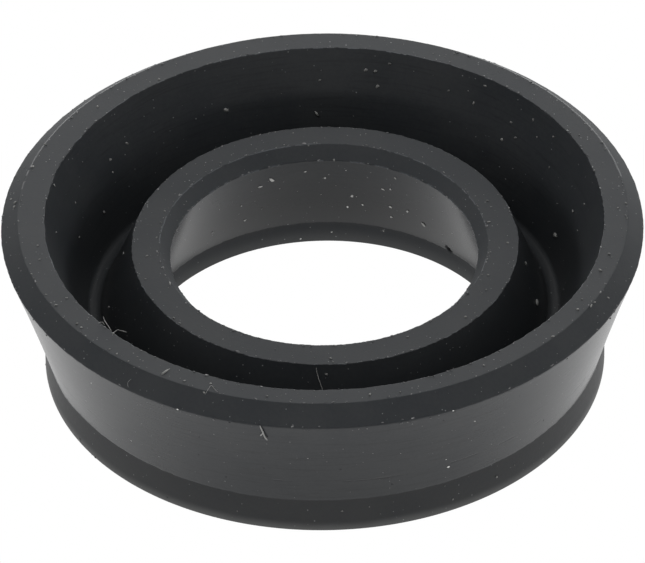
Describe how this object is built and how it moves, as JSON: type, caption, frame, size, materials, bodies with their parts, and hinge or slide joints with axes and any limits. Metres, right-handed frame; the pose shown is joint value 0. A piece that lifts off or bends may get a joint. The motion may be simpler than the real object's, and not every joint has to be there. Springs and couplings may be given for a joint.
{
  "type": "u cup seal",
  "caption": "Moulded rubber U cup rod seal: a ring with a deep groove in its top, a tall flared outer lip, a lower inner lip, both bevelled, and a square solid heel.",
  "frame": {"origin": "centre of the flat heel face, on the ring's axis", "axes": "+Z along the ring's axis, from the heel towards the open groove and the lips"},
  "size_m": [0.0314, 0.0314, 0.0087],
  "materials": {
    "rubber": "black moulded rubber: satin moulded walls, matte cut lip faces"
  },
  "bodies": {
    "root": {"seal_ring": "rubber"}
  },
  "joints": []
}
